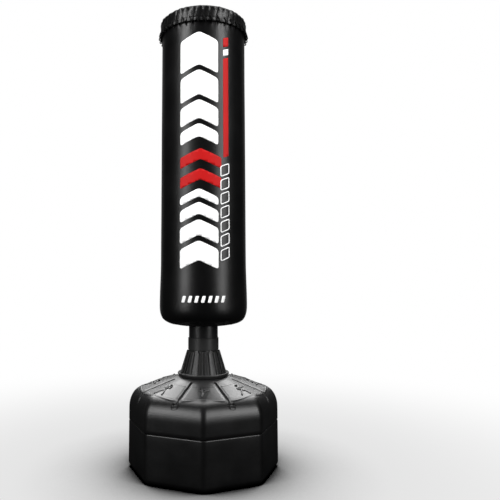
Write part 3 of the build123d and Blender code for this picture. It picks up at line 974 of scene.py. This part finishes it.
graph = bpy.context.evaluated_depsgraph_get()
domeTree = BVHTree.FromObject(baseTop, graph)


def onDome(x, y, lift):
    hit = domeTree.ray_cast(Vector((x, y, 1.0)), Vector((0, 0, -1)))[0]
    return Vector((x, y, hit.z + lift))


def ballAt(spot, radius, rings=7, cols=12):
    verts = []
    for i in range(1, rings):
        out, up = radius * math.sin(math.pi * i / rings), radius * math.cos(math.pi * i / rings)
        verts += [spot + around(fullTurn * j / cols, out, up) for j in range(cols)]
    faces = ringFaces(rings - 1, cols)
    faces.append(tuple(range(cols)))
    faces.append(tuple((rings - 2) * cols + j for j in reversed(range(cols))))
    return verts, faces


def makeAthletes():
    f = figureSize
    parts = []
    for k in range(8):
        angle = k * 2 * halfSide
        middle = around(angle, f["at"], 0)
        sideways = Vector((math.cos(angle), math.sin(angle), 0))
        inward = -middle.normalized()
        drawing = athletes[(k * 3 + 1) % len(athletes)]
        across, along = f["front"] if k in (0, 4) else (1, 1)

        def place(u, v, lift):
            spot = middle + sideways * (u * f["wide"] * across) + inward * (v * f["tall"] * along)
            return onDome(spot.x, spot.y, lift)

        parts.append(ballAt(place(*drawing["head"], -f["sink"]), f["stroke"] * 1.7))
        strokes = [(drawing["neck"], drawing["hip"])]
        strokes += [(drawing["hip"], *leg) for leg in drawing["legs"]]
        strokes += [(drawing["shoulder"], *arm) for arm in drawing["arms"]]
        for stroke in strokes:
            bent = rounded(stroke, 0.3, closed=False, steps=4)
            fine = []
            for a, b in zip(bent, bent[1:]):
                fine += [(lerp(a[0], b[0], s / 3), lerp(a[1], b[1], s / 3)) for s in range(3)]
            fine.append(bent[-1])
            parts.append(tubeAlong([place(u, v, -f["sink"]) for u, v in fine], f["stroke"], 10))
            for end in (fine[0], fine[-1]):
                parts.append(ballAt(place(*end, -f["sink"]), f["stroke"]))
    joinInto("domeFigures", parts, basePlastic, "base")


makeAthletes()

# short spout under the fill cap
capSlope = Vector((0, math.sin(base["slope"]), math.cos(base["slope"])))
sealLow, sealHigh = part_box("fill_cap_seal")
sealMiddle = (Vector(sealLow) + Vector(sealHigh)) / 2
spout = {"out": 0.0238, "in": 0.020, "under": 0.024, "over": 0.0014, "edge": 0.0006}


def makeSpout():
    s = spout
    sideways = Vector((1, 0, 0))
    across = capSlope.cross(sideways)
    cols = 64
    low = -s["over"] - s["edge"]
    rows = [(s["in"], -s["under"]), (s["out"], -s["under"]), (s["out"], low),
            (s["out"] - s["edge"], -s["over"]), (s["in"] + s["edge"], -s["over"]), (s["in"], low)]
    verts = []
    for radius, up in rows:
        for j in range(cols):
            a = fullTurn * j / cols
            out = sideways * math.cos(a) + across * math.sin(a)
            verts.append(sealMiddle + out * radius + capSlope * up)
    faces = ringFaces(len(rows), cols)
    last = (len(rows) - 1) * cols
    faces += [(last + j, last + (j + 1) % cols, (j + 1) % cols, j) for j in range(cols)]
    addPiece("sandSpout", verts, faces, basePlastic, "base")


makeSpout()
print("base details done")


bootLow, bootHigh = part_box("neck_boot")
boot = {"foot": 0.0825, "top": 0.0550, "ribs": 18, "rise": 0.0078, "footWide": 0.0135, "topWide": 0.0088,
        "soft": 0.0030, "archAt": 0.955, "archTall": 0.08, "rows": 40, "cols": 540, "wall": 0.0030,
        "turn": math.radians(1.5)}


def bootRadius(angle, t):
    b = boot
    radius = lerp(b["foot"], b["top"], t)
    pitch = fullTurn / b["ribs"]
    away = ((angle - b["turn"] + pitch / 2) % pitch - pitch / 2) * radius
    half = lerp(b["footWide"], b["topWide"], t) / 2
    archFrom = b["archAt"] - b["archTall"]
    if t > archFrom:
        over = (t - archFrom) / b["archTall"]
        half *= math.sqrt(max(1 - over * over, 0))
    if half <= 0.0005:
        return radius
    return radius + b["rise"] * smooth(half + b["soft"] * 0.5, half - b["soft"] * 0.5, abs(away))


def makeBootHalf(name, low, high):
    rows = boot["rows"]
    verts = []
    for i in range(rows + 1):
        t = lerp(low, high, i / rows)
        height = lerp(bootLow.z + 0.0005, bootHigh.z - 0.0003, t)
        for j in range(boot["cols"]):
            angle = fullTurn * j / boot["cols"]
            verts.append(around(angle, bootRadius(angle, t), height))
    half = addPiece(name, verts, ringFaces(rows + 1, boot["cols"]), bootRubber, None)
    thicken(half, boot["wall"])
    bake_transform(half)
    return half


bootFoot = makeBootHalf("bootFoot", 0.0, 0.5)
bootThroat = makeBootHalf("bootThroat", 0.5, 1.0)
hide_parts("neck_boot")
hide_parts("neck_boot")

springLow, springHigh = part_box("coil_springs")
springs = {"count": 4, "circle": 0.038, "coil": 0.012, "wire": 0.0025, "turns": 6}


def makeSpringHalf(name, low, high):
    s = springs
    bottom = springLow.z + s["wire"]
    tall = springHigh.z - springLow.z - 2 * s["wire"]
    parts = []
    for k in range(s["count"]):
        centre = around(math.radians(45 + 90 * k), s["circle"], 0)
        steps = int(s["turns"] * 28 * (high - low))
        points = []
        for i in range(steps + 1):
            t = lerp(low, high, i / steps)
            a = t * s["turns"] * fullTurn
            out = Vector((math.cos(a), math.sin(a), 0)) * s["coil"]
            points.append(centre + out + Vector((0, 0, bottom + tall * t)))
        parts.append(tubeAlong(points, s["wire"], 10))
    half = joinInto(name, parts, springSteel, None)
    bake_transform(half)
    return half


springFeet = makeSpringHalf("springFeet", 0.0, 0.5)
springHeads = makeSpringHalf("springHeads", 0.5, 1.0)
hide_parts("coil_springs")
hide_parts("coil_springs")
print("neck done")


# near and far set the floor's painted shade close by and its white far off; the shadow values set its
# painted contact shadow
stage = {"floorSize": 60.0, "near": 0.76, "far": 1.0, "fadeFrom": 0.1, "fadeTo": 2.5, "shadowReach": 0.42,
         "shadowFrom": 0.50, "shadowTo": 0.97, "shadowDark": 0.0, "floorBounce": 0.02, "roomGlow": 0.02}


def cameraOnly(tree, low, high):
    # high where the eye looks straight at it, low for the light that it throws on the bag
    seen = tree.nodes.new("ShaderNodeLightPath")
    return addRange(tree, seen.outputs["Is Camera Ray"], low, high)


def makeStage():
    s = stage
    half = s["floorSize"] / 2
    mesh = bpy.data.meshes.new("studioFloor")
    corners = [(-half, -half, 0), (half, -half, 0), (half, half, 0), (-half, half, 0)]
    mesh.from_pydata(corners, [], [(0, 1, 2, 3)])
    floor = newObject("studioFloor", mesh)
    finish, tree, shader, place = newFinish("studioFloor")
    tree.nodes.remove(shader)
    # the floor glows for the eye instead of being lit: painted shade close by that lifts to white with
    # distance, times a painted contact shadow from ambient occlusion round the object's foot
    length = tree.nodes.new("ShaderNodeVectorMath")
    length.operation = "LENGTH"
    tree.links.new(place, length.inputs[0])
    paintedFade = addRange(tree, length.outputs["Value"], s["near"], s["far"], s["fadeFrom"], s["fadeTo"],
                    "SMOOTHERSTEP")
    hidden = tree.nodes.new("ShaderNodeAmbientOcclusion")
    hidden.samples = 16
    hidden.inputs["Distance"].default_value = s["shadowReach"]
    shadow = addRange(tree, hidden.outputs["AO"], s["shadowDark"], 1.0, s["shadowFrom"], s["shadowTo"])
    glow = tree.nodes.new("ShaderNodeEmission")
    final = addProduct(tree, addProduct(tree, paintedFade, shadow), cameraOnly(tree, s["floorBounce"], 1.0))
    tree.links.new(final, glow.inputs["Strength"])
    tree.links.new(glow.outputs["Emission"], tree.nodes["Material Output"].inputs["Surface"])
    mesh.materials.append(finish)
    world = bpy.data.worlds.new("studio")
    world.use_nodes = True
    bpy.context.scene.world = world
    back = world.node_tree.nodes["Background"]
    back.inputs["Color"].default_value = (1, 1, 1, 1)
    tree = world.node_tree
    tree.links.new(cameraOnly(tree, s["roomGlow"], 1.0), back.inputs["Strength"])


# a light with a mate stands on both sides of the front, at the same turn
lights = {
    "strip": {"mate": True, "turn": 49, "away": 2.4, "height": 1.65, "wide": 0.8, "tall": 2.5, "power": 62,
              "aimAt": 1.4, "only": "upper"},
    "cap": {"mate": True, "turn": 49, "away": 1.8, "height": 3.3, "wide": 0.7, "tall": 1.6, "power": 40,
            "aimAt": 1.7, "only": "upper"},
    "backWall": {"turn": 180, "away": 2.8, "height": 1.7, "wide": 4.4, "tall": 3.2, "power": 8,
                 "aimAt": 1.2},
    "overhead": {"turn": 180, "away": 0.9, "height": 3.3, "wide": 3.0, "tall": 1.6, "power": 16,
                 "aimAt": 0.0},
    "domeRear": {"turn": 180, "away": 2.2, "height": 2.3, "wide": 3.6, "tall": 1.6, "power": 120,
                 "aimAt": 0.3, "only": "base"},
    "domeTop": {"turn": 180, "away": 0.5, "height": 2.8, "wide": 3.6, "tall": 2.2, "power": 175,
                "aimAt": 0.3, "only": "base"},
    "low": {"mate": True, "turn": 46, "away": 2.3, "height": 0.9, "wide": 1.0, "tall": 0.85, "power": 30,
            "aimAt": 0.26, "only": "base"},
    "rearPrints": {"turn": 180, "away": 2.6, "height": 1.4, "wide": 2.0, "tall": 2.0, "power": 60,
                   "aimAt": 1.2, "only": "prints"},
}
litBy = {
    "base": ["neck_ring", "fill_cap", "boot_screws", "baseTop", "baseTub", "domeFigures", "sandSpout"],
    "upper": ["bagSkin", "gatheredCap", "hemRoll", "hemStitches", "gatherLaces", "frontWhitePrint",
              "frontRedPrint", "bootFoot", "bootThroat", "core_tube", "tube_collar", "neck_ring"],
    "prints": ["targetRings", "targetDiscs", "targetFigures", "rearWhiteMark", "rearRedMark"],
}


def litGroup(name):
    group = bpy.data.collections.new("lit_" + name)
    for piece in litBy[name]:
        group.objects.link(cadNodes[piece] if piece in cadNodes else bpy.data.objects[piece])
    return group


def addLight(name, look, turn, groups):
    lamp = bpy.data.lights.new(name, "AREA")
    lamp.shape = "RECTANGLE"
    lamp.size = look["wide"]
    lamp.size_y = look["tall"]
    lamp.energy = look["power"]
    holder = newObject(name, lamp)
    holder.location = around(math.radians(turn), look["away"], look["height"])
    aim = Vector((0, 0, look["aimAt"])) - holder.location
    holder.rotation_euler = aim.to_track_quat("-Z", "Y").to_euler()
    holder.visible_camera = False
    if "only" in look:
        holder.light_linking.receiver_collection = groups[look["only"]]
        holder.light_linking.blocker_collection = groups[look["only"]]


def makeLights():
    # some lights are for one part of the object alone, so that the bag keeps its dark edges
    groups = {name: litGroup(name) for name in litBy}
    for name, look in lights.items():
        if "mate" in look:
            addLight(name + "Left", look, -look["turn"], groups)
            addLight(name + "Right", look, look["turn"], groups)
        else:
            addLight(name, look, look["turn"], groups)


camera = {"away": 2.12, "height": 0.706, "tilt": 4.93, "lens": 38.71, "across": 0.0932, "up": -0.033}


def makeCamera():
    lens = bpy.data.cameras.new("camera")
    lens.lens = camera["lens"]
    lens.sensor_width = 36
    lens.shift_x = camera["across"]
    lens.shift_y = camera["up"]
    holder = newObject("camera", lens)
    holder.location = (0, -camera["away"], camera["height"])
    holder.rotation_euler = (math.radians(90 + camera["tilt"]), 0, 0)
    bpy.context.scene.camera = holder


makeStage()
makeLights()
makeCamera()
bpy.context.scene.view_settings.view_transform = "Standard"
print("stage, light and camera done")
